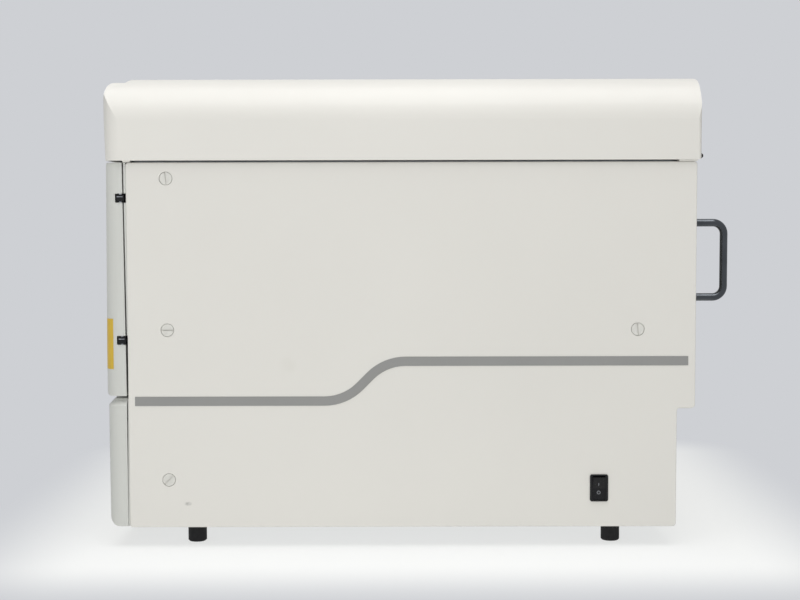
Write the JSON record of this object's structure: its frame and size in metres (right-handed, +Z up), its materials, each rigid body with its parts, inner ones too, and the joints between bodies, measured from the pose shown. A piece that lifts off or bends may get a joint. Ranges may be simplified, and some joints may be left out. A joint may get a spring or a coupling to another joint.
{
  "type": "multiplex assay analyzer",
  "caption": "Bench-top multiplex assay analyzer: case with hinged front door, plate magazines, sliding plate shuttle, lifts and a cooled camera over a fold mirror.",
  "frame": {"origin": "on the bench under the middle of the instrument's overall box", "axes": "+Z up, the front door faces -Y, +X is the user's right"},
  "size_m": [0.608, 0.762, 0.5706],
  "materials": {
    "cream_cover": "satin off-white enamel, faintly textured",
    "cream_panel": "satin off-white enamel",
    "grey_trim": "matt grey trim film",
    "black_plastic": "matt black moulding",
    "grey_paint": "dark grey powder coat",
    "zinc_sheet": "zinc-plated sheet",
    "black_rubber": "matt black rubber",
    "polished_steel": "polished steel",
    "dark_steel": "black oxide",
    "plated_steel": "nickel-plated",
    "ground_steel": "ground and polished",
    "machined_aluminium": "clear anodised",
    "black_motor": "black lacquer",
    "black_paint": "flat black paint",
    "black_anodised": "black anodised",
    "mirror_glass": "front-surface mirror",
    "optical_glass": "coated optical glass",
    "board_green": "green solder mask"
  },
  "bodies": {
    "chassis": {"base_pan": "zinc_sheet", "bridge_pillars": "machined_aluminium", "bridge_plate": "machined_aluminium", "camera_body": "black_anodised", "case_screws": "dark_steel", "control_board": "board_green", "data_ports": "zinc_sheet", "deck_plate": "machined_aluminium", "door_hinge_knuckles": "black_plastic", "door_magnet": "black_plastic", "drive_belt": "black_rubber", "drive_motor": "black_motor", "exhaust_fan_frame": "black_plastic", "feet": "black_rubber", "fold_mirror": "mirror_glass", "inner_fascia": "grey_paint", "input_magazine": "machined_aluminium", "left_chassis_side": "zinc_sheet", "left_side_cover": "cream_panel", "lens_barrel": "black_anodised", "lens_glass": "optical_glass", "lift_guides": "ground_steel", "lift_motors": "black_motor", "lower_front_panel": "cream_cover", "optics_bench": "machined_aluminium", "optics_housing": "black_paint", "output_magazine": "machined_aluminium", "power_inlet": "black_plastic", "power_supply": "zinc_sheet", "rail_blocks": "machined_aluminium", "rear_handles": "polished_steel", "rear_panel": "cream_panel", "right_chassis_side": "zinc_sheet", "right_side_cover": "cream_panel", "shuttle_rails": "ground_steel", "side_stripes": "grey_trim", "switch_housing": "black_plastic", "top_cover": "cream_cover"},
    "door": {"front_door": "cream_cover", "door_hinge_pins": "ground_steel", "door_strike": "ground_steel"},
    "rocker": {"power_rocker": "black_plastic"},
    "shuttle": {"plate_shuttle": "machined_aluminium"},
    "drive_pulley_body": {"drive_pulley": "machined_aluminium"},
    "idler_pulley_body": {"idler_pulley": "machined_aluminium"},
    "fan_rotor": {"exhaust_fan_rotor": "black_plastic"},
    "input_lift_body": {"input_lift": "machined_aluminium"},
    "input_screw_body": {"input_lift_screw": "ground_steel"},
    "contact_lift_body": {"contact_lift": "machined_aluminium"},
    "contact_screw_body": {"contact_lift_screw": "ground_steel"},
    "output_lift_body": {"output_lift": "machined_aluminium"},
    "output_screw_body": {"output_lift_screw": "ground_steel"},
    "right_upper_latch_body": {"right_upper_latch": "plated_steel"},
    "right_middle_latch_body": {"right_middle_latch": "plated_steel"},
    "right_lower_latch_body": {"right_lower_latch": "plated_steel"},
    "right_rear_latch_body": {"right_rear_latch": "plated_steel"},
    "left_upper_latch_body": {"left_upper_latch": "plated_steel"},
    "left_middle_latch_body": {"left_middle_latch": "plated_steel"},
    "left_lower_latch_body": {"left_lower_latch": "plated_steel"},
    "left_rear_latch_body": {"left_rear_latch": "plated_steel"}
  },
  "joints": [
    {"name": "door_hinge", "type": "hinge", "parent": "chassis", "child": "door", "pos_m": [0.297, -0.3599, 0.34], "axis": [0, 0, 1], "range_deg": [0, 110]},
    {"name": "rocker_tip", "type": "hinge", "parent": "chassis", "child": "rocker", "pos_m": [0.2975, 0.218, 0.0726], "axis": [0, 1, 0], "range_deg": [-10, 0]},
    {"name": "shuttle_slide", "type": "slide", "parent": "chassis", "child": "shuttle", "axis": [1, 0, 0], "range_m": [-0.19, 0.19]},
    {"name": "drive_pulley_spin", "type": "hinge", "parent": "chassis", "child": "drive_pulley_body", "pos_m": [0.24, -0.154, 0.186], "axis": [0, 0, 1], "range_deg": [-838, 838]},
    {"name": "idler_pulley_spin", "type": "hinge", "parent": "chassis", "child": "idler_pulley_body", "pos_m": [-0.24, -0.154, 0.186], "axis": [0, 0, 1], "range_deg": [-838, 838]},
    {"name": "fan_spin", "type": "hinge", "parent": "chassis", "child": "fan_rotor", "pos_m": [-0.13, 0.319, 0.33], "axis": [0, 1, 0], "continuous": true},
    {"name": "input_lift_slide", "type": "slide", "parent": "chassis", "child": "input_lift_body", "axis": [0, 0, 1], "range_m": [0, 0.05]},
    {"name": "input_screw_spin", "type": "hinge", "parent": "chassis", "child": "input_screw_body", "pos_m": [-0.19, -0.256, 0.1], "axis": [0, 0, 1], "range_deg": [-1800.5, 0]},
    {"name": "contact_lift_slide", "type": "slide", "parent": "chassis", "child": "contact_lift_body", "axis": [0, 0, 1], "range_m": [0, 0.02]},
    {"name": "contact_screw_spin", "type": "hinge", "parent": "chassis", "child": "contact_screw_body", "pos_m": [0, -0.256, 0.1], "axis": [0, 0, 1], "range_deg": [-720.5, 0]},
    {"name": "output_lift_slide", "type": "slide", "parent": "chassis", "child": "output_lift_body", "axis": [0, 0, 1], "range_m": [0, 0.05]},
    {"name": "output_screw_spin", "type": "hinge", "parent": "chassis", "child": "output_screw_body", "pos_m": [0.19, -0.256, 0.1], "axis": [0, 0, 1], "range_deg": [-1800.5, 0]},
    {"name": "right_upper_latch_turn", "type": "hinge", "parent": "chassis", "child": "right_upper_latch_body", "pos_m": [0.3, -0.3047, 0.4487], "axis": [1, 0, 0], "range_deg": [0, 90]},
    {"name": "right_middle_latch_turn", "type": "hinge", "parent": "chassis", "child": "right_middle_latch_body", "pos_m": [0.3, -0.3047, 0.266], "axis": [1, 0, 0], "range_deg": [0, 90]},
    {"name": "right_lower_latch_turn", "type": "hinge", "parent": "chassis", "child": "right_lower_latch_body", "pos_m": [0.3, -0.3047, 0.0833], "axis": [1, 0, 0], "range_deg": [0, 90]},
    {"name": "right_rear_latch_turn", "type": "hinge", "parent": "chassis", "child": "right_rear_latch_body", "pos_m": [0.3, 0.2638, 0.266], "axis": [1, 0, 0], "range_deg": [0, 90]},
    {"name": "left_upper_latch_turn", "type": "hinge", "parent": "chassis", "child": "left_upper_latch_body", "pos_m": [-0.3, -0.3047, 0.4487], "axis": [-1, 0, 0], "range_deg": [0, 90]},
    {"name": "left_middle_latch_turn", "type": "hinge", "parent": "chassis", "child": "left_middle_latch_body", "pos_m": [-0.3, -0.3047, 0.266], "axis": [-1, 0, 0], "range_deg": [0, 90]},
    {"name": "left_lower_latch_turn", "type": "hinge", "parent": "chassis", "child": "left_lower_latch_body", "pos_m": [-0.3, -0.3047, 0.0833], "axis": [-1, 0, 0], "range_deg": [0, 90]},
    {"name": "left_rear_latch_turn", "type": "hinge", "parent": "chassis", "child": "left_rear_latch_body", "pos_m": [-0.3, 0.2638, 0.266], "axis": [-1, 0, 0], "range_deg": [0, 90]}
  ],
  "couplings": [
    {"joint": "drive_pulley_spin", "follows": "shuttle_slide", "rad_per_m": 76.923},
    {"joint": "idler_pulley_spin", "follows": "shuttle_slide", "rad_per_m": 76.923},
    {"joint": "input_screw_spin", "follows": "input_lift_slide", "rad_per_m": -628.32},
    {"joint": "contact_screw_spin", "follows": "contact_lift_slide", "rad_per_m": -628.32},
    {"joint": "output_screw_spin", "follows": "output_lift_slide", "rad_per_m": -628.32}
  ]
}
